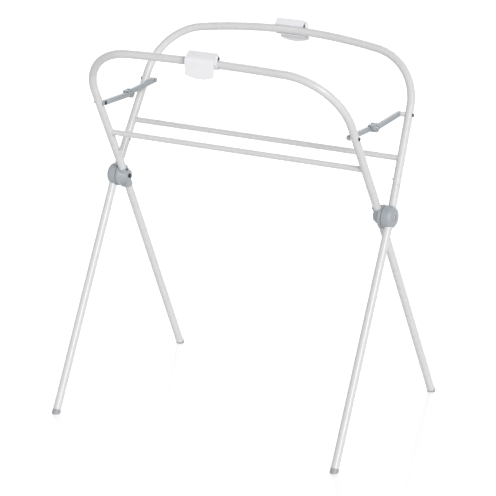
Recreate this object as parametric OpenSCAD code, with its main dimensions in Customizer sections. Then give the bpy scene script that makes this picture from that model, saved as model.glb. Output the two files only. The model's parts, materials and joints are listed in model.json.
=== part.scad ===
// Folding stand for a baby bath: two tube frames crossed at a fold axis.
// The outer frame has its feet in front and its rail at the rear, and the inner frame the other way round.
// X runs along the fold axis, Y points to the rear and Z up. The origin is on the floor, under the middle.

/* [Tubes] */
// Outside diameter of the loops and legs
tube_d = 20; // [18:0.5:22]
// Wall of the loops and legs
tube_wall = 1.2; // [1:0.1:1.6]
// Outside diameter of the crossbars
bar_d = 14; // [12:0.5:16]
// Wall of the crossbars
bar_wall = 1; // [0.8:0.1:1.6]

/* [Frames] */
// Height of the fold axis above the floor
pivot_h = 556; // [520:1:600]
// Half width of the outer frame at the fold axis, to the tube's centre
outer_half_w = 390; // [370:1:420]
// Distance between the two frames' tubes along the fold axis
frame_pitch = 29; // [28:0.5:34]
// Lean of the loops from upright
upper_lean = 29.8; // [27:0.1:32]
// Lean of the legs from upright
lower_lean = 28.2; // [26:0.1:30]
// Height of the outer rail above the fold axis, along its leaning frame
outer_loop_h = 434; // [415:1:450]
// Height of the inner rail above the fold axis, along its leaning frame
inner_loop_h = 444; // [425:1:460]
// Bend radius of the loops' upper corners
corner_r = 148; // [135:1:160]
// Straight length of tube between two bends
bend_flat = 4; // [2:1:10]
// Half angle of the arc that crowns the outer rail
outer_crown = 9; // [6:0.5:10]
// Half angle of the arc that crowns the inner rail
inner_crown = 2.4; // [2:0.1:5]
// Angle at which the outer uprights draw in
outer_taper = 3.5; // [2.5:0.1:4]
// Angle at which the inner uprights draw in
inner_taper = 1.3; // [0.5:0.1:2]
// Angle at which the outer legs spread
outer_splay = 0.4; // [0:0.1:1.4]
// Angle at which the inner legs spread
inner_splay = 1.4; // [0:0.1:1.6]
// Height of the outer crossbar above the fold axis, along its frame
outer_bar_h = 148; // [146:1:170]
// Height of the inner crossbar above the fold axis, along its frame
inner_bar_h = 155; // [146:1:175]

/* [Leg joints] */
// Height of the seam between leg and loop above the fold axis
seam_h = 80; // [74:1:88]
// Width of the groove at that seam
seam_gap = 0.8; // [0.4:0.1:1.2]
// Length of a leg's spigot inside the loop
spigot_l = 36; // [32:1:42]
// Wall of the spigot
spigot_wall = 1.2; // [1:0.1:1.5]
// Gap between the spigot and the loop's bore
spigot_gap = 0.1; // [0.05:0.05:0.3]
// Height of the snap button above the seam
button_above_seam = 14; // [11:1:18]
// Radius of the snap button
button_r = 2.8; // [2.4:0.1:3.2]
// Height that the snap button stands proud of the tube
button_proud = 2.4; // [1.6:0.1:2.8]
// Distance that the snap button can be pressed in
button_travel = 2.6; // [2:0.1:3]
// Radius of the snap button's flange
button_flange_r = 4.2; // [3.8:0.1:4.6]
// Thickness of the snap button's flange
button_flange_t = 1.2; // [1:0.1:1.6]
// Gap round the snap button in its holes
button_gap = 0.08; // [0.05:0.01:0.1]
// Thickness of the button's leaf spring
leaf_t = 0.6; // [0.4:0.1:0.8]
// Width of the leaf spring
leaf_w = 6; // [5:0.5:7]
// Length of the leaf spring
leaf_l = 28; // [24:1:32]
// Gap between the leaf spring and the flange of a button that is pressed in
leaf_gap = 0.4; // [0.3:0.1:0.6]

/* [Knuckles] */
// Radius of the round knuckle housings
knuckle_r = 28.5; // [27:0.5:31]
// Gap between the two housings, which the friction washer fills
knuckle_gap = 1.6; // [1.4:0.1:2.2]
// Rounding of the outer housing's outer edge
dome_r = 14; // [10:0.5:15]
// Rounding of the housings' edges at the gap
rim_r = 1.2; // [0.8:0.1:1.6]
// Plastic between the tube and the bolt head's seat
seat_wall = 1; // [0.8:0.1:1.6]
// Depth of the bolt head's recess
recess_h = 2.6; // [2.4:0.1:4]
// Thickness of the inner housing's flange
flange_t = 8; // [7:0.5:9]
// Radius to which the inner housing narrows at the nut
neck_r = 15; // [12:0.5:18]
// Plastic round the tube in the inner housing's sleeve
sleeve_wall = 1.6; // [1.4:0.1:2.4]
// Thickness of the pad under the nut, inside the sleeve
nut_pad = 0.4; // [0.3:0.1:1]
// Radius of that pad
nut_pad_r = 8.6; // [8:0.1:10]
// Length of the sleeve above the fold axis
sleeve_up = 28; // [26:1:30]
// Length of the sleeve below the fold axis
sleeve_down = 33; // [28:1:36]
// Gap between a housing and the tube that runs through it
housing_gap = 0.15; // [0.1:0.05:0.25]
// Radius of the fold bolt
bolt_r = 3; // [2.5:0.5:4]
// Radius of the fold bolt's head
bolt_head_r = 5.8; // [5.2:0.1:6.4]
// Height of the fold bolt's head
bolt_head_h = 2.2; // [1.8:0.1:2.4]
// Gap round the head in its recess
recess_gap = 0.8; // [0.6:0.1:1.4]
// Gap between a bolt or pin and its hole
pin_gap = 0.05; // [0.03:0.01:0.08]
// Radius of the friction washer
washer_r = 21; // [16:0.5:25]
// Slack at each side of a turning joint
side_slack = 0.1; // [0.05:0.05:0.2]
// Width across the flats of the fold bolt's nut
nut_af = 10; // [9:0.5:12]
// Thickness of the fold bolt's nut
nut_t = 3.4; // [3:0.2:5]
// Radius of the screws that fix the inner housings
screw_r = 1.6; // [1.4:0.1:2]
// Radius of those screws' heads
screw_head_r = 3.2; // [2.8:0.1:3.6]
// Height of those screws above the fold axis
screw_h = 23; // [20:0.5:24]

/* [Braces] */
// Distance of the brace pins below the lower of the loops' corner bends
brace_below_bend = 19; // [15:1:30]
// Depth of the brace links
link_d = 12.5; // [11:0.5:13]
// Thickness of the brace links
link_t = 8; // [6:0.5:8.5]
// Gap between the two links of a brace
link_gap = 0.6; // [0.4:0.1:1]
// Distance that the elbow lies below the line between its pins
elbow_drop = 5; // [4:0.5:7]
// Radius of the links' round ends at the elbow
elbow_r = 11.5; // [10:0.5:12]
// Radius of the brace pins and rivets
pin_r = 3; // [2.5:0.1:3.5]
// Radius of the pins' and rivets' heads
pin_head_r = 5.2; // [4.6:0.1:5.8]
// Height of the pins' and rivets' heads
pin_head_h = 2.2; // [1.6:0.1:2.6]
// Thickness of the saddle between the inner tube and its link
saddle_t = 2; // [1.5:0.1:3]
// Radius of the saddles and spacers
spacer_r = 5.8; // [5:0.1:6.2]
// Gap at the outer brace pin, where the linkage is open
open_gap = 0.4; // [0.3:0.1:0.8]
// Reach of the stop lug past the elbow
lug_reach = 21; // [19:0.5:24]
// Length of the stop lug
lug_l = 9; // [7:0.5:9]
// Thickness of the stop lug
lug_t = 3; // [2.4:0.1:4]
// Gap between the stop lug and the link that it meets
stop_gap = 0.3; // [0.2:0.05:0.5]

/* [Rail clips] */
// Length of a clip along the rail
clip_l = 79; // [70:1:90]
// Wall of the clip
clip_wall = 2.6; // [2.2:0.1:3]
// Gap between the clip's jaw and the rail, which is slightly bowed
jaw_gap = 0.7; // [0.65:0.05:0.9]
// Angle from the outward direction to the top of the jaw
jaw_angle = 45; // [40:1:50]
// Angle from the outward direction to the end of the wall above the rail's inner side
back_angle = 123; // [119:0.5:127]
// Angle below the outward direction at which the jaw ends
jaw_end = 100; // [92:1:106]
// Thickness of the ribs inside the clip
rib_t = 2.2; // [1.8:0.1:2.6]
// Distance of the end ribs inside the clip's ends
rib_inset = 0.8; // [0.5:0.1:2]
// Distance of the ridge outward from the rail's centre
ridge_out = 4; // [2:0.5:6]
// Overhang of the roof at the ridge
ridge_lip = 0.8; // [0.6:0.1:1.2]
// Height of the ridge above the rail's centre
ridge_up = 27.5; // [26:0.1:30]
// Distance of the skirt outward from the rail's centre
skirt_out = 27; // [26:0.5:30]
// Depth of the skirt below the rail's centre, at the middle
skirt_down = 34.5; // [30:0.5:38]
// Rise of the skirt's curved edge at the clip's ends
skirt_rise = 8; // [5:0.5:10]
// Radius of the bend from the clip's roof to its skirt
shoulder_r = 20; // [17:0.5:21]
// Slope of the clip's roof
roof_slope = 30; // [28:0.5:33]

/* [Feet] */
// Length of a foot cap below the end of its leg
foot_h = 9; // [8:0.5:14]
// Height that the foot cap stands proud of the tube all round
foot_proud = 0.5; // [0.2:0.1:1]
// Length of the cap's plug inside the leg
plug_l = 18; // [14:1:24]
// Gap between the plug and the leg's bore
plug_gap = 0.1; // [0.05:0.05:0.2]

/* [Hidden] */

// A side is 1 for the outer frame, whose rail is at the rear, and -1 for the inner frame.
OUTER = 1;
INNER = -1;
// A hand is -1 for the left end of the fold axis and 1 for the right end.
LEFT = -1;
RIGHT = 1;

tube_r = tube_d / 2;
bore_r = tube_r - tube_wall;
bar_r = bar_d / 2;
inner_half_w = outer_half_w - frame_pitch;
gap_x = outer_half_w - frame_pitch / 2;
button_h = seam_h + button_above_seam;
spigot_r = bore_r - spigot_gap;
spigot_bore_r = spigot_r - spigot_wall;
bolt_hole_r = bolt_r + pin_gap;
pin_hole_r = pin_r + pin_gap;
button_hole_r = button_r + button_gap;
// Length by which a cut runs past the face that it opens
past = 1;
// Growth of the tube's wall in a bend, and the length by which straight tube runs on into it
bend_swell = 0.03;
bend_lap = 1;
round_fn = 96;
tube_fn = 36;

WHITE_PAINT = [0.86, 0.86, 0.85];
GREY_PLASTIC = [0.62, 0.65, 0.67];
WHITE_PLASTIC = [0.93, 0.93, 0.95];
DARK_STEEL = [0.22, 0.22, 0.23];
PALE_RUBBER = [0.66, 0.66, 0.69];
BRIGHT_STEEL = [0.75, 0.75, 0.76];

function half_w(side) = side == OUTER ? outer_half_w : inner_half_w;
function taper(side) = side == OUTER ? outer_taper : inner_taper;
function splay(side) = side == OUTER ? outer_splay : inner_splay;
function crown(side) = side == OUTER ? outer_crown : inner_crown;
function loop_h(side) = side == OUTER ? outer_loop_h : inner_loop_h;
function bar_h(side) = side == OUTER ? outer_bar_h : inner_bar_h;

// Centre of a loop's corner bend, from arcs that run smoothly from the upright into the crowned rail
function corner_v(side) =
    (loop_h(side) - corner_r
        - (half_w(side) - corner_r / cos(taper(side)) + bend_flat) * tan(crown(side) / 2))
    / (1 - tan(taper(side)) * tan(crown(side) / 2));
function corner_u(side) =
    half_w(side) - corner_v(side) * tan(taper(side)) - corner_r / cos(taper(side));
function crown_r(side) =
    corner_r + (corner_u(side) - bend_flat * cos(crown(side))) / sin(crown(side));
function upright_end(side) = corner_v(side) + corner_r * sin(taper(side));

// Height of the brace pins above the fold axis, along both frames
brace_h = min(upright_end(OUTER), upright_end(INNER)) - brace_below_bend;

// Distance from the centre line at which an upright stands, at a height along its frame
function upright_x(side, v) = half_w(side) - v * tan(taper(side));
function upright_pt(side, hand, v) = [
    hand * upright_x(side, v),
    side * v * sin(upper_lean),
    pivot_h + v * cos(upper_lean)
];
// Distance along a leg from the fold axis to the floor
function leg_l(side) = pivot_h / cos(lower_lean) / cos(splay(side));

// Plane of a loop: X across, Z up along the frame, from the fold axis
module on_frame(side) {
    translate([0, 0, pivot_h]) rotate([-side * upper_lean, 0, 0]) children();
}

// Axis of an upright: Z up along it, from the fold axis
module on_upright(side, hand) {
    translate([hand * half_w(side), 0, pivot_h])
        rotate([-side * upper_lean, 0, 0]) rotate([0, -hand * taper(side), 0]) children();
}

// Axis of a leg: Z up along it, from the fold axis
module on_leg(side, hand) {
    translate([hand * half_w(side), 0, pivot_h])
        rotate([-side * lower_lean, 0, 0]) rotate([0, -hand * splay(side), 0]) children();
}

// Round piece along X between two distances from the middle, at the given end of the fold axis
module across(hand, x_from, x_to, r, pt, fn = round_fn) {
    translate([hand * x_from, pt[1], pt[2]]) rotate([0, hand * 90, 0])
        cylinder(h = x_to - x_from, r = r, $fn = fn);
}

// Cone along X between two distances from the middle, with its radius at each
module across_cone(hand, x_from, x_to, r_from, r_to, pt) {
    translate([hand * x_from, pt[1], pt[2]]) rotate([0, hand * 90, 0])
        cylinder(h = x_to - x_from, r1 = r_from, r2 = r_to, $fn = round_fn);
}

// Round piece along X, with its edge rounded at the far end
module across_domed(hand, x_from, x_to, r, edge_r, pt) {
    h = x_to - x_from;
    translate([hand * x_from, pt[1], pt[2]]) rotate([0, hand * 90, 0])
        rotate_extrude($fn = round_fn) {
            square([r, h - edge_r]);
            square([r - edge_r, h]);
            translate([r - edge_r, h - edge_r]) intersection() {
                circle(r = edge_r, $fn = tube_fn);
                square(edge_r);
            }
        }
}

// ---- Tube frames ----

// Straight length of tube along Z
module tube_run(from, to) {
    translate([0, 0, from]) difference() {
        cylinder(h = to - from, r = tube_r, $fn = tube_fn);
        translate([0, 0, -past]) cylinder(h = to - from + 2 * past, r = bore_r, $fn = tube_fn);
    }
}

// Arc of tube in the plane of a frame
module tube_arc(centre, bend_r, start, sweep, fn) {
    translate([centre[0], 0, centre[1]]) rotate([90, 0, 0]) rotate([0, 0, start])
        rotate_extrude(angle = sweep, $fn = fn) translate([bend_r, 0]) difference() {
            circle(r = tube_r + bend_swell, $fn = tube_fn);
            circle(r = bore_r - bend_swell, $fn = tube_fn);
        }
}

module loop(side) {
    arc_to = 90 - crown(side);
    bend_end = [
        corner_u(side) + corner_r * cos(arc_to),
        corner_v(side) + corner_r * sin(arc_to)
    ];
    color(WHITE_PAINT) {
        for (hand = [LEFT, RIGHT]) {
            pin = upright_pt(side, hand, brace_h);
            button = upright_pt(side, hand, button_h);
            difference() {
                on_upright(side, hand)
                    tube_run(seam_h / cos(taper(side)), upright_end(side) / cos(taper(side)) + bend_lap);
                across(hand, abs(pin[0]) - tube_d, abs(pin[0]) + tube_d, pin_hole_r, pin);
                across(hand, abs(button[0]) - tube_d, abs(button[0]), button_hole_r, button);
            }
        }
        on_frame(side) {
            for (hand = [LEFT, RIGHT])
                mirror([hand == LEFT ? 1 : 0, 0, 0]) {
                    tube_arc([corner_u(side), corner_v(side)], corner_r, taper(side),
                        arc_to - taper(side), 96);
                    translate([bend_end[0], 0, bend_end[1]]) rotate([0, -arc_to, 0])
                        tube_run(-bend_lap, bend_flat + bend_lap);
                }
            tube_arc([0, loop_h(side) - crown_r(side)], crown_r(side), arc_to, 2 * crown(side), 360);
        }
    }
}

// Crossbar, its ends cut to the uprights that they are welded to
module crossbar(side) {
    reach = upright_x(side, bar_h(side));
    color(WHITE_PAINT) difference() {
        on_frame(side) translate([-reach, 0, bar_h(side)]) rotate([0, 90, 0]) difference() {
            cylinder(h = 2 * reach, r = bar_r, $fn = round_fn);
            translate([0, 0, -past])
                cylinder(h = 2 * (reach + past), r = bar_r - bar_wall, $fn = round_fn);
        }
        for (hand = [LEFT, RIGHT])
            on_upright(side, hand) translate([0, 0, bar_h(side) - tube_d])
                cylinder(h = 2 * tube_d, r = tube_r, $fn = tube_fn);
    }
}

// A leg's path as a solid round bar: up to the seam, and down to the given distance from the fold axis
module leg_bar(side, hand, r, up, down) {
    on_upright(side, hand) translate([0, 0, -bend_lap / 2])
        cylinder(h = up + bend_lap / 2, r = r, $fn = tube_fn);
    on_leg(side, hand) translate([0, 0, -down])
        cylinder(h = down + bend_lap / 2, r = r, $fn = tube_fn);
    // The slight bend inside the knuckle swells a little, which covers both ends.
    translate([hand * half_w(side), 0, pivot_h])
        rotate([-side * (upper_lean + lower_lean) / 2, 0, 0])
            rotate([0, -hand * (taper(side) + splay(side)) / 2, 0])
                cylinder(h = 2 * bend_lap, r = r + 4 * bend_swell, center = true, $fn = tube_fn);
}

module leg(side, hand) {
    seam = seam_h / cos(taper(side)) - seam_gap;
    down = leg_l(side) - foot_h;
    button = upright_pt(side, hand, button_h);
    color(WHITE_PAINT) difference() {
        union() {
            leg_bar(side, hand, tube_r, seam, down);
            on_upright(side, hand) translate([0, 0, seam - past])
                cylinder(h = spigot_l + past, r = spigot_r, $fn = tube_fn);
        }
        leg_bar(side, hand, spigot_bore_r, seam + spigot_l + past, down + past);
        leg_bar(side, hand, bore_r, seam - tube_wall, down + past);
        across(hand, half_w(side) - tube_d, half_w(side) + tube_d, bolt_hole_r, [0, 0, pivot_h]);
        across(hand, abs(button[0]) - tube_d, abs(button[0]), button_hole_r, button);
        if (side == INNER) housing_screw_hole(hand);
    }
}

// Cap on a leg's end, cut level where it stands on the floor
module foot_cap(side, hand) {
    floor_size = 3 * outer_half_w;
    color(PALE_RUBBER) intersection() {
        on_leg(side, hand) translate([0, 0, -leg_l(side)]) {
            translate([0, 0, -tube_d]) cylinder(h = foot_h + tube_d, r = tube_r + foot_proud, $fn = tube_fn);
            translate([0, 0, foot_h - past]) cylinder(h = plug_l + past, r = bore_r - plug_gap, $fn = tube_fn);
        }
        translate([-floor_size / 2, -floor_size / 2, 0]) cube([floor_size, floor_size, pivot_h]);
    }
}

// ---- Snap buttons that lock the legs into the loops ----

// Distance of the flange's face from the upright's axis, just inside the spigot's round bore
function flange_face() = sqrt(pow(spigot_bore_r, 2) - pow(button_flange_r, 2)) - 2 * button_gap;

module snap_button(side, hand) {
    pt = upright_pt(side, hand, button_h);
    x = abs(pt[0]);
    face = flange_face();
    color(BRIGHT_STEEL) {
        across_domed(-hand, -x + face - past / 2, -x + tube_r + button_proud, button_r, button_r / 2, pt);
        across(-hand, -x + face - button_flange_t, -x + face, button_flange_r, pt);
    }
}

// Flat strip between two points of a spring's side view
module strip(from, to) {
    d = to - from;
    translate(from) rotate(atan2(d[1], d[0])) translate([-leaf_t / 2, -leaf_t / 2])
        square([norm(d) + leaf_t, leaf_t]);
}

// Leaf spring bent back on itself: one leg lies on the tube's wall, and the other behind the button,
// where the button's flange reaches it when pressed
module button_spring(side, hand) {
    back = sqrt(pow(spigot_bore_r, 2) - pow(leaf_w / 2, 2)) - leaf_t;
    front = button_flange_t + button_travel + leaf_gap + leaf_t / 2 - flange_face();
    middle = (front + back) / 2;
    top = button_flange_r;
    side_view = [[back, top], [back, 4 - leaf_l], [middle, -leaf_l], [front, 4 - leaf_l], [front, top]];
    color(BRIGHT_STEEL) on_upright(side, hand) mirror([hand == LEFT ? 1 : 0, 0, 0])
        translate([0, leaf_w / 2, button_h / cos(taper(side))]) rotate([90, 0, 0])
            linear_extrude(leaf_w) for (i = [0:len(side_view) - 2]) strip(side_view[i], side_view[i + 1]);
}

// ---- Knuckles at the fold axis ----

module tube_passage(side, hand) {
    reach = 2 * knuckle_r;
    leg_bar(side, hand, tube_r + housing_gap, reach, reach);
}

// Round housing on the outer frame, open to the bolt at both ends
module outer_knuckle(hand) {
    axis = [0, 0, pivot_h];
    from = gap_x + knuckle_gap / 2;
    seat = outer_half_w + tube_r + seat_wall;
    color(GREY_PLASTIC) difference() {
        across_domed(hand, from, seat + recess_h, knuckle_r, dome_r, axis);
        tube_passage(OUTER, hand);
        across(hand, from - past, seat + past, bolt_hole_r, axis);
        across(hand, seat, seat + recess_h + past, bolt_head_r + recess_gap, axis);
    }
}

nut_seat = inner_half_w - tube_r - housing_gap - sleeve_wall - nut_pad;

// Sleeve along the tube, from its axis outward to the gap between the housings
module sleeve(hand, from, to) {
    sleeve_r = tube_r + housing_gap + sleeve_wall;
    half_t = sleeve_r - side_slack * 4;
    reach = frame_pitch;
    translate([0, 0, from]) {
        cylinder(h = to - from, r = sleeve_r, $fn = round_fn);
        translate([hand > 0 ? 0 : -reach, -half_t, 0]) cube([reach, 2 * half_t, to - from]);
    }
}

// Housing on the inner frame: a round flange at the gap and a sleeve along the tube
module inner_knuckle(hand) {
    axis = [0, 0, pivot_h];
    to = gap_x - knuckle_gap / 2;
    color(GREY_PLASTIC) difference() {
        union() {
            across_domed(hand, to - flange_t, to, knuckle_r, rim_r, axis);
            across(hand, nut_seat, to - flange_t / 2, nut_pad_r, axis);
            across_cone(hand, nut_seat + 2 * nut_pad, to - flange_t / 2, neck_r, knuckle_r - rim_r / 2, axis);
            on_upright(INNER, hand) sleeve(hand, 0, sleeve_up);
            on_leg(INNER, hand) sleeve(hand, -sleeve_down, 0);
        }
        tube_passage(INNER, hand);
        across(hand, to, to + 2 * tube_d, 2 * knuckle_r, axis);
        across(hand, nut_seat - past, to + past, bolt_hole_r, axis);
        housing_screw_hole(hand);
    }
}

function screw_x() = upright_x(INNER, screw_h) - tube_r - housing_gap - sleeve_wall;

module housing_screw_hole(hand) {
    across(hand, screw_x() - past, upright_x(INNER, screw_h), screw_r + pin_gap,
        upright_pt(INNER, hand, screw_h));
}

module housing_screw(hand) {
    pt = upright_pt(INNER, hand, screw_h);
    head_t = 1.8;
    seat = screw_x() - side_slack;
    color(DARK_STEEL) {
        across(hand, seat, upright_x(INNER, screw_h) - bore_r + 2, screw_r, pt);
        across_domed(-hand, -seat, -seat + head_t, screw_head_r, head_t / 2, pt);
    }
}

module pivot_bolt(hand) {
    axis = [0, 0, pivot_h];
    seat = outer_half_w + tube_r + seat_wall + side_slack / 2;
    socket_af = 5;
    socket_h = 1.6;
    color(BRIGHT_STEEL) difference() {
        union() {
            across(hand, nut_seat - side_slack - nut_t, seat + past, bolt_r, axis);
            across_domed(hand, seat, seat + bolt_head_h, bolt_head_r, 1, axis);
        }
        across(hand, seat + bolt_head_h - socket_h, seat + bolt_head_h + past,
            socket_af / 2 / cos(30), axis, 6);
    }
}

// Domed nut over the bolt's end
module pivot_nut(hand) {
    axis = [0, 0, pivot_h];
    seat = nut_seat - side_slack;
    cap_t = 1.2;
    corner_r = nut_af / 2 / cos(30);
    color(DARK_STEEL) difference() {
        union() {
            across(hand, seat - nut_t, seat, corner_r, axis, 6);
            across_domed(-hand, -seat + nut_t - past, -seat + nut_t + cap_t, nut_af / 2 - 0.4, 1, axis);
        }
        across(hand, seat - nut_t - side_slack, seat + past, bolt_hole_r, axis);
    }
}

module friction_washer(hand) {
    axis = [0, 0, pivot_h];
    from = gap_x - knuckle_gap / 2 + side_slack;
    to = gap_x + knuckle_gap / 2;
    color(DARK_STEEL) difference() {
        across(hand, from, to, washer_r, axis);
        across(hand, from - past, to + past, bolt_hole_r, axis);
    }
}

// ---- Braces: two links a side, which lock straight and fold up ----

front_pin_x = upright_x(INNER, brace_h);
rear_pin_x = upright_x(OUTER, brace_h);
// Both links lie inside the inner upright, the front link nearest to the middle.
front_link_to = front_pin_x - tube_r - saddle_t;
front_link_from = front_link_to - link_t;
rear_link_from = front_link_to + link_gap;
rear_link_to = rear_link_from + link_t;
pin_y = brace_h * sin(upper_lean);
link_l = sqrt(pow(pin_y, 2) + pow(elbow_drop, 2));
sag = asin(elbow_drop / link_l);

function pin_pt(side) = [0, side * pin_y, pivot_h + brace_h * cos(upper_lean)];
elbow_pt = [0, 0, pivot_h + brace_h * cos(upper_lean) - elbow_drop];

// Side view of a link from its elbow at the origin to its pin along +X
module link_outline() {
    circle(r = elbow_r, $fn = round_fn);
    translate([link_l, 0]) circle(r = link_d / 2, $fn = round_fn);
    translate([0, -link_d / 2]) square([link_l, link_d]);
}

// Lays a side view, drawn in X and Y, into the plane across the fold axis, between two distances
// from the middle
module link_plate(hand, x_from, x_to, side) {
    translate([hand > 0 ? x_from : -x_to, 0, elbow_pt[2]]) rotate([side * sag, 0, 0])
        rotate([90, 0, 90]) mirror([side == OUTER ? 0 : 1, 0, 0]) linear_extrude(x_to - x_from) children();
}

module front_link(hand) {
    color(GREY_PLASTIC) link_plate(hand, front_link_from, front_link_to, INNER) difference() {
        link_outline();
        circle(r = pin_hole_r, $fn = round_fn);
        translate([link_l, 0]) circle(r = pin_hole_r, $fn = round_fn);
    }
}

// The rear link runs on past the elbow, where its lug rests on the front link and stops it.
module rear_link(hand) {
    under = link_d / 2 + lug_reach * tan(2 * sag) + stop_gap;
    color(GREY_PLASTIC) {
        link_plate(hand, rear_link_from, rear_link_to, OUTER) difference() {
            union() {
                link_outline();
                translate([-lug_reach, 0]) square([lug_reach, under + lug_t]);
            }
            circle(r = pin_hole_r, $fn = round_fn);
            translate([link_l, 0]) circle(r = pin_hole_r, $fn = round_fn);
        }
        link_plate(hand, front_link_from, rear_link_from + past, OUTER)
            translate([-lug_reach, under]) square([lug_l, lug_t]);
    }
}

// Rivet of the elbow, fixed in the front link
module elbow_rivet(hand) {
    from = front_link_from - side_slack;
    to = rear_link_to + side_slack;
    color(BRIGHT_STEEL) {
        across(hand, from - past / 2, to + past / 2, pin_r, elbow_pt);
        across_domed(hand, to, to + pin_head_h, pin_head_r, pin_head_h / 2, elbow_pt);
        across_domed(-hand, -from, -from + pin_head_h, pin_head_r, pin_head_h / 2, elbow_pt);
    }
}

// Pin through the inner upright that carries the front link
module front_brace_pin(hand) {
    pt = pin_pt(INNER);
    from = front_link_from - side_slack;
    to = front_pin_x + tube_r + open_gap;
    color(DARK_STEEL) {
        across(hand, from - past / 2, to + past / 2, pin_r, pt);
        across_domed(hand, to, to + pin_head_h, pin_head_r, pin_head_h / 2, pt);
        across_domed(-hand, -from, -from + pin_head_h, pin_head_r, pin_head_h / 2, pt);
    }
}

// Piece that stands on an upright round a brace pin, hollowed to fit the tube
module tube_seat(side, hand, x_from, pin_x) {
    pt = pin_pt(side);
    difference() {
        across(hand, x_from, pin_x, spacer_r, pt);
        across(hand, x_from - past, pin_x + past, pin_hole_r, pt);
        on_upright(side, hand) translate([0, 0, brace_h - tube_d])
            cylinder(h = 2 * tube_d, r = tube_r, $fn = tube_fn);
    }
}

module front_saddle(hand) {
    color(WHITE_PLASTIC) tube_seat(INNER, hand, front_link_to + side_slack, front_pin_x);
}

module rear_spacer(hand) {
    color(WHITE_PLASTIC) tube_seat(OUTER, hand, rear_link_to + open_gap, rear_pin_x);
}

// Pin through the outer upright, which ends flush with its spacer
module rear_brace_pin(hand) {
    pt = pin_pt(OUTER);
    to = rear_pin_x + tube_r + open_gap;
    color(DARK_STEEL) {
        across(hand, rear_link_to + open_gap, to + past / 2, pin_r, pt);
        across_domed(hand, to, to + pin_head_h, pin_head_r, pin_head_h / 2, pt);
    }
}

// Cap that closes the rear link's pin hole
module rear_pin_cap(hand) {
    pt = pin_pt(OUTER);
    color(DARK_STEEL) {
        across(hand, rear_link_from - past / 2, rear_link_to, pin_r, pt);
        across_domed(-hand, -rear_link_from, -rear_link_from + link_gap + pin_head_h, pin_head_r,
            pin_head_h / 2, pt);
    }
}

// ---- Clips that hold the bath's rim on the rails ----

// Distance that a flat wall of a clip lies inside the round that it runs into
clip_lap = 0.06;
shoulder = [
    skirt_out - shoulder_r,
    ridge_up - (skirt_out - shoulder_r - ridge_out) * tan(roof_slope)
        - (shoulder_r - clip_lap) / cos(roof_slope)
];
clip_jaw_r = tube_r + jaw_gap + clip_wall;

function polar(r, a) = [r * cos(a), r * sin(a)];

// Wall of a clip between two points of its profile, its thickness to the right of the way it runs
module clip_strip(from, to) {
    d = to - from;
    translate(from) rotate(atan2(d[1], d[0])) translate([0, -clip_wall]) square([norm(d), clip_wall]);
}

// Profile with X outward and Y up, round the rail's centre
module clip_profile() {
    ridge = [ridge_out, ridge_up];
    reach = 2 * clip_jaw_r;
    // Angle by which the pieces of the profile overlap
    lap_a = 7;
    roof_dir = [cos(roof_slope), -sin(roof_slope)];
    clip_strip(ridge - ridge_lip * roof_dir,
        shoulder + polar(shoulder_r - clip_lap, 90 - roof_slope) + roof_dir / 2);
    translate(shoulder) intersection() {
        difference() {
            circle(r = shoulder_r, $fn = round_fn);
            circle(r = shoulder_r - clip_wall, $fn = round_fn);
        }
        polygon([[0, 0], polar(reach, 90 - roof_slope + lap_a), polar(reach, 45), polar(reach, -lap_a)]);
    }
    translate([skirt_out - clip_wall - clip_lap, -skirt_down])
        square([clip_wall, skirt_down + shoulder[1] + 1 / 2]);
    // A wall runs from the ridge to a grip above the rail, and another to the jaw round its outer side.
    back_end = polar(clip_jaw_r + clip_wall, back_angle);
    back_dir = (ridge - back_end) / norm(ridge - back_end);
    grip_from = back_angle - 15;
    grip_to = back_angle - 6;
    difference() {
        union() {
            clip_strip(back_end, ridge - ridge_lip * back_dir);
            clip_strip(ridge + [clip_wall / 2, -clip_wall], polar(clip_jaw_r, jaw_angle - lap_a));
            intersection() {
                circle(r = clip_jaw_r + 3 * clip_wall / 4, $fn = round_fn);
                polygon([[0, 0], polar(reach, grip_from), polar(reach, grip_to)]);
            }
            difference() {
                circle(r = clip_jaw_r, $fn = round_fn);
                polygon([
                    [0, 0], polar(reach, jaw_angle), polar(reach, 110), polar(reach, 180), polar(reach, -jaw_end)
                ]);
            }
        }
        circle(r = tube_r + jaw_gap, $fn = round_fn);
    }
}

// Rib that joins the outer wall to the jaw, with its edges inside the walls
module clip_rib() {
    half = clip_wall / 2;
    low = clip_wall;
    polygon([
        [ridge_out + clip_wall, ridge_up - clip_wall * tan(roof_slope) - half],
        shoulder + polar(shoulder_r - half, 90 - roof_slope),
        shoulder + polar(shoulder_r - half, 28),
        [skirt_out - half, shoulder[1]],
        [skirt_out - half, low],
        [clip_jaw_r - half, low],
        polar(clip_jaw_r - half, jaw_angle - 6),
        [ridge_out + half, ridge_up - 3 * clip_wall]
    ]);
}

module rail_clip(side) {
    // The jaw is centred on the middle of the slight bow that the rail has along the clip.
    bow = pow(clip_l / 2, 2) / 2 / crown_r(side);
    rail_y = side * loop_h(side) * sin(upper_lean);
    rail_z = pivot_h + loop_h(side) * cos(upper_lean);
    edge_r = (pow(clip_l / 2, 2) + pow(skirt_rise, 2)) / 2 / skirt_rise;
    edge_reach = 2 * skirt_out;
    end_rib = clip_l / 2 - rib_inset - rib_t;
    color(WHITE_PLASTIC) translate([0, rail_y, rail_z]) {
        intersection() {
            translate([-clip_l / 2, 0, -bow / 2]) rotate([90, 0, 90]) linear_extrude(clip_l)
                mirror([side == OUTER ? 0 : 1, 0]) clip_profile();
            translate([0, edge_reach, edge_r - skirt_down]) rotate([90, 0, 0])
                cylinder(h = 2 * edge_reach, r = edge_r, $fn = 360);
        }
        for (x = [-end_rib - rib_t, -rib_t / 2, end_rib])
            translate([x, 0, -bow / 2]) rotate([90, 0, 90]) linear_extrude(rib_t)
                mirror([side == OUTER ? 0 : 1, 0]) clip_rib();
    }
}

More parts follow.
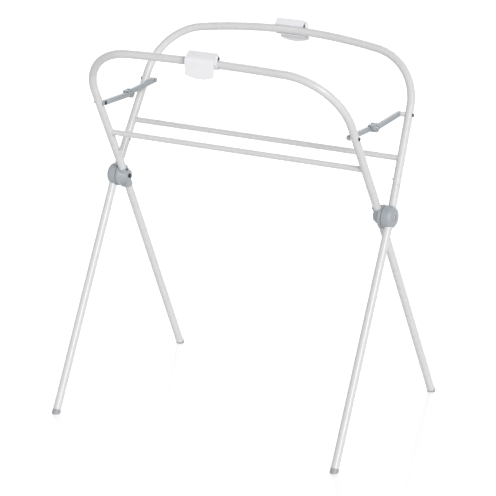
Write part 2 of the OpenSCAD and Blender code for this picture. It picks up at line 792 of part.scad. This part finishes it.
loop(OUTER);  // outer_loop
crossbar(OUTER);  // outer_crossbar
leg(OUTER, LEFT);  // outer_leg_left
leg(OUTER, RIGHT);  // outer_leg_right
outer_knuckle(LEFT);  // outer_knuckle_left
outer_knuckle(RIGHT);  // outer_knuckle_right
pivot_bolt(LEFT);  // pivot_bolt_left
pivot_bolt(RIGHT);  // pivot_bolt_right
pivot_nut(LEFT);  // pivot_nut_left
pivot_nut(RIGHT);  // pivot_nut_right
friction_washer(LEFT);  // friction_washer_left
friction_washer(RIGHT);  // friction_washer_right
rear_brace_pin(LEFT);  // rear_brace_pin_left
rear_brace_pin(RIGHT);  // rear_brace_pin_right
rear_spacer(LEFT);  // rear_spacer_left
rear_spacer(RIGHT);  // rear_spacer_right
foot_cap(OUTER, LEFT);  // foot_cap_front_left
foot_cap(OUTER, RIGHT);  // foot_cap_front_right
for (hand = [LEFT, RIGHT]) button_spring(OUTER, hand);  // outer_button_springs
loop(INNER);  // inner_loop
crossbar(INNER);  // inner_crossbar
leg(INNER, LEFT);  // inner_leg_left
leg(INNER, RIGHT);  // inner_leg_right
inner_knuckle(LEFT);  // inner_knuckle_left
inner_knuckle(RIGHT);  // inner_knuckle_right
for (hand = [LEFT, RIGHT]) housing_screw(hand);  // inner_knuckle_screws
front_brace_pin(LEFT);  // front_brace_pin_left
front_brace_pin(RIGHT);  // front_brace_pin_right
front_saddle(LEFT);  // front_saddle_left
front_saddle(RIGHT);  // front_saddle_right
foot_cap(INNER, LEFT);  // foot_cap_rear_left
foot_cap(INNER, RIGHT);  // foot_cap_rear_right
for (hand = [LEFT, RIGHT]) button_spring(INNER, hand);  // inner_button_springs
front_link(LEFT);  // front_link_left
front_link(RIGHT);  // front_link_right
elbow_rivet(LEFT);  // elbow_rivet_left
elbow_rivet(RIGHT);  // elbow_rivet_right
rear_link(LEFT);  // rear_link_left
rear_link(RIGHT);  // rear_link_right
rear_pin_cap(LEFT);  // rear_pin_cap_left
rear_pin_cap(RIGHT);  // rear_pin_cap_right
rail_clip(INNER);  // rail_clip_front
rail_clip(OUTER);  // rail_clip_rear
snap_button(OUTER, LEFT);  // outer_button_left
snap_button(OUTER, RIGHT);  // outer_button_right
snap_button(INNER, LEFT);  // inner_button_left
snap_button(INNER, RIGHT);  // inner_button_right
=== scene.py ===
import bmesh
import bpy
import json
import math
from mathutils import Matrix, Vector


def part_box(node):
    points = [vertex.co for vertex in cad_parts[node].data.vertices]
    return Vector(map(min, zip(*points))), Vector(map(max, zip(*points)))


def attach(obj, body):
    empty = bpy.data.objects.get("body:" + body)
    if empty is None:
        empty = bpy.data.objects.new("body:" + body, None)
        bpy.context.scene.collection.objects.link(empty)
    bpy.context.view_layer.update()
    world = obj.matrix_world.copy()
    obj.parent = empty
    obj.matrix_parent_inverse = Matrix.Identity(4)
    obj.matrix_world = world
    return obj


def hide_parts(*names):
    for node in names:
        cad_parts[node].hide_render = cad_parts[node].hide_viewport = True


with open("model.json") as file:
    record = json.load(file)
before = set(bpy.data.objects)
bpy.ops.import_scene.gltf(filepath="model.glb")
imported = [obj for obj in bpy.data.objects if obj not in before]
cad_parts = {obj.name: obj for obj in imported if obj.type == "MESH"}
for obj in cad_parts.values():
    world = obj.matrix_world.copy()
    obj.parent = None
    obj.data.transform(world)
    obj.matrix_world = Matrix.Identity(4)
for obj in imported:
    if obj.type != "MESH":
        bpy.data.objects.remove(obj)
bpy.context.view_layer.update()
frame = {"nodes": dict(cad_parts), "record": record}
nodes = frame["nodes"]
scene = bpy.context.scene
rad = math.radians

# Lengths below are millimetres unless a name ends in _m. The scene itself is in metres.
MM = 0.001
LEFT, RIGHT = -1, 1
HANDS = ((LEFT, "left"), (RIGHT, "right"))
ENDS = ("front", "rear")

record = frame["record"]
behaviour = record["behaviour"]
node_slot = {part["node"]: part["material_slot"] for part in record["subparts"]}
node_body = {node: body for body, held in behaviour["bodies"].items() for node in held}
joint_at = {j["name"]: [c / MM for c in j["pos_m"]] for j in behaviour["joints"] if "pos_m" in j}


# ---- Camera ----

def direction(azimuth, elevation):
    """Unit vector from the stand towards a camera or lamp. Azimuth 0 is straight ahead of the front."""
    az, el = rad(azimuth), rad(elevation)
    return Vector((math.sin(az) * math.cos(el), -math.cos(az) * math.cos(el), math.sin(el)))


def add_aimed(name, data, back):
    """New object in the scene that looks along -back."""
    ob = bpy.data.objects.new(name, data)
    scene.collection.objects.link(ob)
    ob.rotation_mode = "QUATERNION"
    ob.rotation_quaternion = (-back).to_track_quat("-Z", "Y")
    return ob


def make_camera():
    """Camera fitted to the photograph."""
    distance_m = 6.185
    target_m = Vector((-0.0029, 0, 0.4158))
    back = direction(28.67, 18.16)
    lens = bpy.data.cameras.new("camera")
    lens.sensor_width = 36
    lens.lens = 178.8
    lens.clip_start = 0.1
    lens.clip_end = 100
    camera = add_aimed("camera", lens, back)
    camera.location = target_m + back * distance_m
    scene.camera = camera


make_camera()
scene.view_settings.view_transform = "Standard"


# ---- Materials ----

def lin(r, g, b):
    """Linear colour from screen values of 0 to 255."""
    return tuple(((c / 255 + 0.055) / 1.055) ** 2.4 for c in (r, g, b)) + (1,)


def tone(col, k):
    """The colour, k times as bright."""
    return tuple(min(1, c * k) for c in col[:3]) + (1,)


class Graph:
    """Short names for the shader nodes that the materials, floor and world are made of."""

    def __init__(self, tree):
        self.tree = tree

    def new(self, kind, **settings):
        node = self.tree.nodes.new(kind)
        for key, value in settings.items():
            setattr(node, key, value)
        return node

    def link(self, a, b):
        self.tree.links.new(a, b)

    def noise(self, scale, detail=3, rough=0.5):
        tex = self.new("ShaderNodeTexNoise")
        tex.inputs["Scale"].default_value = scale
        tex.inputs["Detail"].default_value = detail
        tex.inputs["Roughness"].default_value = rough
        self.link(self.new("ShaderNodeTexCoord").outputs["Object"], tex.inputs["Vector"])
        return tex.outputs["Fac"]

    def drift(self, fac, low, high):
        """Colour that goes from low to high over the middle of a noise."""
        node = self.new("ShaderNodeValToRGB")
        for element, position, col in zip(node.color_ramp.elements, (0.3, 0.7), (low, high)):
            element.position = position
            element.color = col
        self.link(fac, node.inputs["Fac"])
        return node.outputs["Color"]

    def span(self, fac, low, high, from_low=0.3, from_high=0.7):
        """Number that goes from low to high while fac goes from from_low to from_high."""
        node = self.new("ShaderNodeMapRange")
        node.inputs["From Min"].default_value = from_low
        node.inputs["From Max"].default_value = from_high
        node.inputs["To Min"].default_value = low
        node.inputs["To Max"].default_value = high
        self.link(fac, node.inputs["Value"])
        return node.outputs["Result"]

    def bump(self, height, distance, strength, normal):
        node = self.new("ShaderNodeBump")
        node.inputs["Strength"].default_value = strength
        node.inputs["Distance"].default_value = distance
        self.link(height, node.inputs["Height"])
        self.link(normal, node.inputs["Normal"])
        return node.outputs["Normal"]

    def edges(self, radius):
        """Normal that is rounded at sharp edges, and a mask that is 1 along those edges."""
        node = self.new("ShaderNodeBevel")
        node.samples = 6
        node.inputs["Radius"].default_value = radius
        flat = self.new("ShaderNodeNewGeometry").outputs["Normal"]
        dot = self.new("ShaderNodeVectorMath", operation="DOT_PRODUCT")
        self.link(node.outputs["Normal"], dot.inputs[0])
        self.link(flat, dot.inputs[1])
        return node.outputs["Normal"], self.span(dot.outputs["Value"], 1, 0, 0.90, 0.995)

    def tinted(self, fac, base, tint):
        """The base colour, with a plain tint over it where fac is 1."""
        node = self.new("ShaderNodeMix", data_type="RGBA")
        self.link(fac, node.inputs["Factor"])
        self.link(base, node.inputs["A"])
        node.inputs["B"].default_value = tint
        return node.outputs["Result"]

    def maths(self, operation, a, b):
        node = self.new("ShaderNodeMath", operation=operation)
        self.link(a, node.inputs[0])
        self.link(b, node.inputs[1])
        return node.outputs[0]

    def rays(self, *kinds):
        """1 for a ray of any of these kinds, and 0 for the rest."""
        path = self.new("ShaderNodeLightPath")
        total = path.outputs[kinds[0]]
        for kind in kinds[1:]:
            total = self.maths("MAXIMUM", total, path.outputs[kind])
        return total


def new_material(name):
    material = bpy.data.materials.new(name)
    material.use_nodes = True
    return material, Graph(material.node_tree), material.node_tree.nodes["Principled BSDF"]


def finish_of(name, col, rough, spread, grain, grain_h, wave, vary, coat=0.0, metal=0.0, spec=0.5,
              edge=0.0006, wear_and_edge_shade=1.12):
    """Moulded, painted or plated finish.

    Its colour drifts by vary over noise of scale wave, and its gloss by spread. Fine grain of scale grain and
    height grain_h lies over long waves. Edges are rounded off over the length edge, and in patches along them
    the colour is multiplied by wear_and_edge_shade: above 1 this is rubbed wear, below 1 it is painted shade
    along the edges. Both grain_h and edge are in metres.
    """
    material, g, bsdf = new_material(name)
    body = g.drift(g.noise(wave, 4, 0.55), tone(col, 1 - vary), tone(col, 1 + vary))
    rounded_normal, edge_mask = g.edges(edge)
    patches = g.span(g.noise(wave * 6, 4, 0.6), 0.15, 0.8, 0.35, 0.65)
    # Patchy tint along sharp edges: a factor above 1 is rubbed wear, and a factor below 1 is painted shade
    # darkening the edges.
    worn_and_shaded = g.maths("MULTIPLY", edge_mask, patches)
    g.link(g.tinted(worn_and_shaded, body, tone(col, wear_and_edge_shade)), bsdf.inputs["Base Color"])
    g.link(g.span(g.noise(wave * 3, 5, 0.6), rough - spread, rough + spread), bsdf.inputs["Roughness"])
    long_waves = g.bump(g.noise(wave * 4, 2), grain_h * 1.5, 0.25, rounded_normal)
    g.link(g.bump(g.noise(grain, 3, 0.6), grain_h, 0.5, long_waves), bsdf.inputs["Normal"])
    bsdf.inputs["Metallic"].default_value = metal
    bsdf.inputs["Specular IOR Level"].default_value = spec
    bsdf.inputs["Coat Weight"].default_value = coat
    bsdf.inputs["Coat Roughness"].default_value = 0.12
    return material


FINISHES = {
    # The tubes' edge factor is below 1, so their edges get painted shade.
    "painted_tube": dict(col=lin(216, 216, 216), rough=0.28, spread=0.04, grain=900, grain_h=0.00005,
                         wave=22, vary=0.015, spec=0.4, edge=0.0004, wear_and_edge_shade=0.93),
    "grey_plastic": dict(col=lin(164, 170, 175), rough=0.38, spread=0.05, grain=2200, grain_h=0.00008,
                         wave=40, vary=0.035, wear_and_edge_shade=1.14),
    # The clips' edge factor is below 1, so their edges get painted shade.
    "clip_plastic": dict(col=lin(239, 239, 242), rough=0.20, spread=0.04, grain=600, grain_h=0.00003,
                         wave=25, vary=0.012, coat=0.2, wear_and_edge_shade=0.97),
    "white_plastic": dict(col=lin(226, 227, 228), rough=0.40, spread=0.05, grain=1800, grain_h=0.00006,
                          wave=40, vary=0.02),
    "foot_plastic": dict(col=lin(164, 164, 169), rough=0.48, spread=0.06, grain=2000, grain_h=0.00008,
                         wave=45, vary=0.05, edge=0.0005, wear_and_edge_shade=1.1),
    "dark_washer": dict(col=lin(44, 44, 46), rough=0.5, spread=0.06, grain=2000, grain_h=0.00006,
                        wave=60, vary=0.06),
    "dark_steel": dict(col=lin(66, 67, 69), rough=0.36, spread=0.08, grain=2600, grain_h=0.00005,
                       wave=90, vary=0.12, metal=0.9, edge=0.0003, wear_and_edge_shade=1.8),
    "bright_steel": dict(col=lin(168, 170, 172), rough=0.30, spread=0.07, grain=2400, grain_h=0.00004,
                         wave=90, vary=0.06, metal=1.0, edge=0.0003, wear_and_edge_shade=1.2),
}
SLOTS = {name: finish_of(name, **look) for name, look in FINISHES.items()}
for name, ob in nodes.items():
    ob.data.materials.clear()
    ob.data.materials.append(SLOTS[node_slot[name]])


# ---- Making pieces ----

SHARP_DEG = 35
BEVEL_DEG = 28
SAME_POINT_M = 1e-7
SAME_PLANE_DEG = 0.4


def piece(name, mesh, body, slot_name, *replaced):
    ob = bpy.data.objects.new(name, mesh)
    scene.collection.objects.link(ob)
    mesh.materials.append(SLOTS[slot_name])
    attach(ob, body)
    if replaced:
        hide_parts(*replaced)
    return ob


def finish_mesh(bm, name):
    """Closed smooth-shaded mesh, with its creases kept sharp."""
    bmesh.ops.recalc_face_normals(bm, faces=bm.faces)
    for face in bm.faces:
        face.smooth = True
    for edge in bm.edges:
        edge.smooth = not (edge.is_manifold and edge.calc_face_angle(0) > rad(SHARP_DEG))
    mesh = bpy.data.meshes.new(name)
    bm.to_mesh(mesh)
    bm.free()
    return mesh


def node_shape(node, flats):
    """The node's own shape as a fresh mesh. With flats, its flat faces are made whole."""
    src = nodes[node].data
    bm = bmesh.new()
    for v in src.vertices:
        bm.verts.new(v.co)
    bm.verts.ensure_lookup_table()
    for poly in src.polygons:
        try:
            bm.faces.new([bm.verts[i] for i in poly.vertices])
        except ValueError:
            pass  # the face is there already
    bmesh.ops.remove_doubles(bm, verts=bm.verts, dist=SAME_POINT_M)
    if flats:
        bmesh.ops.dissolve_limit(bm, angle_limit=rad(SAME_PLANE_DEG), verts=bm.verts, edges=bm.edges)
    return bm


def modifier(ob, kind, **values):
    mod = ob.modifiers.new(kind.lower(), kind)
    for key, value in values.items():
        setattr(mod, key, value)


def stand_in(node, name, flats):
    """Piece with the node's own shape, body and slot, in the node's place."""
    mesh = finish_mesh(node_shape(node, flats), name)
    return piece(name, mesh, node_body[node], node_slot[node], node)


def rounded(node, name, width_m):
    """The node with every edge rounded off, as a moulding comes out of its tool."""
    modifier(stand_in(node, name, True), "BEVEL", width=width_m, segments=3, limit_method="ANGLE",
             angle_limit=rad(BEVEL_DEG), use_clamp_overlap=True, harden_normals=True,
             miter_outer="MITER_ARC")


def moulded(node, name, voxel_m, passes):
    """The node as one moulding, with fillets where its forms meet and softened outer edges."""
    ob = stand_in(node, name, False)
    modifier(ob, "REMESH", mode="VOXEL", voxel_size=voxel_m, use_smooth_shade=True)
    modifier(ob, "SMOOTH", factor=0.5, iterations=passes)
    modifier(ob, "DECIMATE", ratio=0.3)


def swept(rings, closed=True):
    """Mesh through rings of points. Its last ring joins the first, or else both are filled."""
    bm = bmesh.new()
    grid = [[bm.verts.new(p) for p in ring] for ring in rings]
    count = len(grid[0])
    for i in range(len(grid) - (0 if closed else 1)):
        one, two = grid[i], grid[(i + 1) % len(grid)]
        for j in range(count):
            k = (j + 1) % count
            bm.faces.new((one[j], one[k], two[k], two[j]))
    if not closed:
        bm.faces.new(grid[0])
        bm.faces.new(list(reversed(grid[-1])))
    return bm


# ---- Weld beads where the crossbars meet the uprights ----

PIVOT_H = joint_at["fold"][2]
LEAN_DEG = 29.8
TUBE_R = 10
BAR_R = 7
BEAD_R = 1.7
FRAMES = {
    "outer": dict(side=1, half_w=390, taper=rad(3.5), bar_h=148),
    "inner": dict(side=-1, half_w=361, taper=rad(1.3), bar_h=155),
}


def on_frame(side, u, w, v):
    """Point in metres from u across the frame, w square to it and v up along it from the pivot."""
    lean = side * rad(LEAN_DEG)
    return Vector((u, w * math.cos(lean) + v * math.sin(lean),
                   PIVOT_H - w * math.sin(lean) + v * math.cos(lean))) * MM


def weld_bead(frame_name, hand, hand_name, steps=120, around=10):
    f = FRAMES[frame_name]

    def on_seam(t, r_bar, r_tube):
        """Point where a bar and an upright of these radii meet, at the angle t round the bar."""
        w = r_bar * math.sin(t)
        v = f["bar_h"] + r_bar * math.cos(t)
        u = f["half_w"] - v * math.tan(f["taper"]) - math.sqrt(r_tube ** 2 - w * w) / math.cos(f["taper"])
        return Vector((u, w, v))

    lift = 0.1
    off_tube = Vector((-1, 0, 0))
    rings = []
    for i in range(steps):
        t = 2 * math.pi * i / steps
        centre = on_seam(t, BAR_R + lift, TUBE_R + lift)
        from_bar = (on_seam(t, BAR_R + lift + 1, TUBE_R) - on_seam(t, BAR_R + lift, TUBE_R)).normalized()
        radius = BEAD_R * (1 + 0.06 * math.cos(13 * t) + 0.03 * math.sin(5 * t + f["side"]))
        ring = []
        for j in range(around):
            a = 2 * math.pi * j / around
            p = centre + (from_bar * math.cos(a) + off_tube * math.sin(a)) * radius
            ring.append(on_frame(f["side"], hand * p.x, p.y, p.z))
        rings.append(ring)
    name = "weld_%s_%s" % (frame_name, hand_name)
    piece(name, finish_mesh(swept(rings), name), frame_name + "_frame", "painted_tube")


for frame_name in FRAMES:
    for hand, hand_name in HANDS:
        weld_bead(frame_name, hand, hand_name)


# ---- Mouldings ----

for _, hand_name in HANDS:
    moulded("outer_knuckle_" + hand_name, "housing_outer_" + hand_name, voxel_m=0.0007, passes=6)
    moulded("inner_knuckle_" + hand_name, "housing_inner_" + hand_name, voxel_m=0.0006, passes=9)
    for end in ENDS:
        rounded("%s_link_%s" % (end, hand_name), "arm_%s_%s" % (end, hand_name), width_m=0.0008)
        rounded("foot_cap_%s_%s" % (end, hand_name), "shoe_%s_%s" % (end, hand_name), width_m=0.0009)
for end in ENDS:
    rounded("rail_clip_" + end, "clip_shell_" + end, width_m=0.0005)


# ---- Painted shade: dark fillers in the clips' hollows over the rails ----

OUTWARD = {"front": -1, "rear": 1}
SHADE_FILL_HALF = 38.7
SHADE_FILL_STEPS = 26
SHADE_FILL_ON_RAIL_R = 10.75
SHADE_FILL_FROM_DEG, SHADE_FILL_TO_DEG = 54, 107
SHADE_FILL_BACK_R = 14.6
SHADE_FILL_PEAK = (3.1, 22.3)
SHADE_FILL_SHOULDER = (6.5, 11.6)
SHADE_FILL_ARC_STEPS = 16


def polar(r, degrees):
    return r * math.cos(rad(degrees)), r * math.sin(rad(degrees))


def shade_filler(end):
    """Dark filler in the clip's hollow over the rail, whose dark colour is painted shade, in a profile of
    (outward, up) from the rail.
    """
    _, rail_y, rail_z = joint_at[end + "_clip_turn"]
    sweep = SHADE_FILL_TO_DEG - SHADE_FILL_FROM_DEG
    on_rail = [polar(SHADE_FILL_ON_RAIL_R, SHADE_FILL_FROM_DEG + sweep * i / SHADE_FILL_ARC_STEPS)
               for i in range(SHADE_FILL_ARC_STEPS + 1)]
    outline = [SHADE_FILL_PEAK, SHADE_FILL_SHOULDER] + on_rail + [polar(SHADE_FILL_BACK_R, SHADE_FILL_TO_DEG)]
    rings = []
    for i in range(SHADE_FILL_STEPS + 1):
        x = -SHADE_FILL_HALF + 2 * SHADE_FILL_HALF * i / SHADE_FILL_STEPS
        rings.append([Vector((x, rail_y + OUTWARD[end] * u, rail_z + v)) * MM for u, v in outline])
    name = "clip_shade_filler_" + end
    # The dark slot on this filler paints the shade inside the clip's hollow.
    ob = piece(name, finish_mesh(swept(rings, False), name), "rail_clip_" + end, "dark_washer")
    modifier(ob, "BEVEL", width=0.0003, segments=2, limit_method="ANGLE", angle_limit=rad(BEVEL_DEG),
             harden_normals=True)


for end in ENDS:
    shade_filler(end)


# ---- Elbow rivets and brace pins ----

SHANK_R = 3.0
AXIS_R = 0.02  # a turned piece closes with a hole of this radius
CAD_HEAD_H = 2.2
CAD_HEAD_R = 5.2


def lathe(profile, centre_m, outward, steps=48):
    """Round piece along X from a closed profile of (distance outward from the centre, radius)."""
    rings = []
    for i in range(steps):
        a = 2 * math.pi * i / steps
        rings.append([Vector((centre_m.x + outward * x * MM,
                              centre_m.y + r * MM * math.cos(a),
                              centre_m.z + r * MM * math.sin(a))) for x, r in profile])
    return swept(rings)


def middle_and_half(node):
    """Middle of the node's box in metres, and its half length along X."""
    lo, hi = (Vector(corner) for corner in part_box(node))
    return (lo + hi) / 2, (hi.x - lo.x) / 2 / MM


def tube_rivet(hand_name, rim_h=2.2, rim_r=6.0, bore_r=2.7):
    """Hollow rivet through both links, with a rolled rim at each end."""
    node, name = "elbow_rivet_" + hand_name, "rivet_" + hand_name
    centre, half = middle_and_half(node)
    seat = half - rim_h
    roll_r = (rim_r - bore_r) / 2
    rim = [(seat + rim_h * math.sin(rad(a)), bore_r + roll_r - roll_r * math.cos(rad(a)))
           for a in range(0, 181, 15)]
    one_end = rim + [(seat, SHANK_R)]
    profile = one_end + [(-x, r) for x, r in reversed(one_end)]
    piece(name, finish_mesh(lathe(profile, centre, 1), name), node_body[node], "bright_steel", node)


def pin(node, name, hand, head_h, head_r, inner_head):
    """Turned pin with a domed, collared head on its outer end, and a plain one inside if it shows there."""
    centre, half = middle_and_half(node)
    seat = half - CAD_HEAD_H
    collar_h, chamfer = head_h * 0.35, 0.25
    dome_h = head_h - collar_h
    dome = []
    for a in range(0, 90, 9):
        narrowing = 1 - 0.02 * a / 15
        dome.append((seat + collar_h + dome_h * math.sin(rad(a)), head_r * narrowing * math.cos(rad(a))))
    dome.append((seat + head_h, AXIS_R))
    if inner_head:
        inner = [(-seat - CAD_HEAD_H * math.sin(rad(a)), max(AXIS_R, CAD_HEAD_R * math.cos(rad(a))))
                 for a in range(90, -1, -9)]
        inner.append((-seat, SHANK_R))
    else:
        tip = 0.3
        inner = [(-half, AXIS_R), (-half, SHANK_R - tip), (-half + tip, SHANK_R)]
    collar = [(seat, SHANK_R), (seat, head_r - chamfer), (seat + chamfer, head_r)]
    profile = inner + collar + dome
    piece(name, finish_mesh(lathe(profile, centre, hand), name), node_body[node], "dark_steel", node)


for hand, hand_name in HANDS:
    tube_rivet(hand_name)
    pin("rear_brace_pin_" + hand_name, "pin_rear_" + hand_name, hand,
        head_h=2.8, head_r=4.2, inner_head=False)
    pin("front_brace_pin_" + hand_name, "pin_front_" + hand_name, hand,
        head_h=2.6, head_r=4.4, inner_head=True)


# ---- Floor, world and lamps ----

FLOOR_HALF_M = 30
FLOOR_DROP_M = 0.0006
FLOOR_GLOW, FLOOR_GLOW_SEEN = 0.12, 0.42
WORLD_LIGHT, WORLD_SEEN = 0.34, 1.0


def make_floor():
    """Pale glossy floor, brighter where it is seen than where it lights the stand."""
    s = FLOOR_HALF_M
    mesh = bpy.data.meshes.new("floor")
    mesh.from_pydata([(-s, -s, 0), (s, -s, 0), (s, s, 0), (-s, s, 0)], [], [(0, 1, 2, 3)])
    floor = bpy.data.objects.new("floor", mesh)
    scene.collection.objects.link(floor)
    floor.location.z = -FLOOR_DROP_M
    material, g, bsdf = new_material("floor")
    bsdf.inputs["Base Color"].default_value = (0.73, 0.73, 0.73, 1)
    bsdf.inputs["Roughness"].default_value = 0.06
    bsdf.inputs["Specular IOR Level"].default_value = 0.4
    glow = g.new("ShaderNodeEmission")
    glow.inputs["Color"].default_value = (1, 1, 1, 1)
    seen = g.rays("Is Camera Ray", "Is Glossy Ray")
    g.link(g.span(seen, FLOOR_GLOW, FLOOR_GLOW_SEEN, 0, 1), glow.inputs["Strength"])
    both = g.new("ShaderNodeAddShader")
    g.link(bsdf.outputs[0], both.inputs[0])
    g.link(glow.outputs[0], both.inputs[1])
    g.link(both.outputs[0], g.tree.nodes["Material Output"].inputs["Surface"])
    mesh.materials.append(material)


def make_world():
    """Soft light from all round, and plain white where it is seen."""
    world = bpy.data.worlds.new("world")
    scene.world = world
    world.use_nodes = True
    g = Graph(world.node_tree)
    background = world.node_tree.nodes["Background"]
    background.inputs["Color"].default_value = (1, 1, 1, 1)
    seen = g.rays("Is Camera Ray", "Is Glossy Ray", "Is Transmission Ray")
    g.link(g.span(seen, WORLD_LIGHT, WORLD_SEEN, 0, 1), background.inputs["Strength"])


def soft_sun(name, azimuth, elevation, level, spread):
    """Broad distant lamp. A surface that faces it gets this share of full light."""
    lamp = bpy.data.lights.new(name, "SUN")
    lamp.energy = level * math.pi
    lamp.angle = rad(spread)
    add_aimed(name, lamp, direction(azimuth, elevation))


make_floor()
make_world()
soft_sun("key", azimuth=50, elevation=25, level=0.63, spread=24)
soft_sun("fill", azimuth=-35, elevation=12, level=0.12, spread=60)
soft_sun("rear", azimuth=190, elevation=26, level=0.30, spread=60)
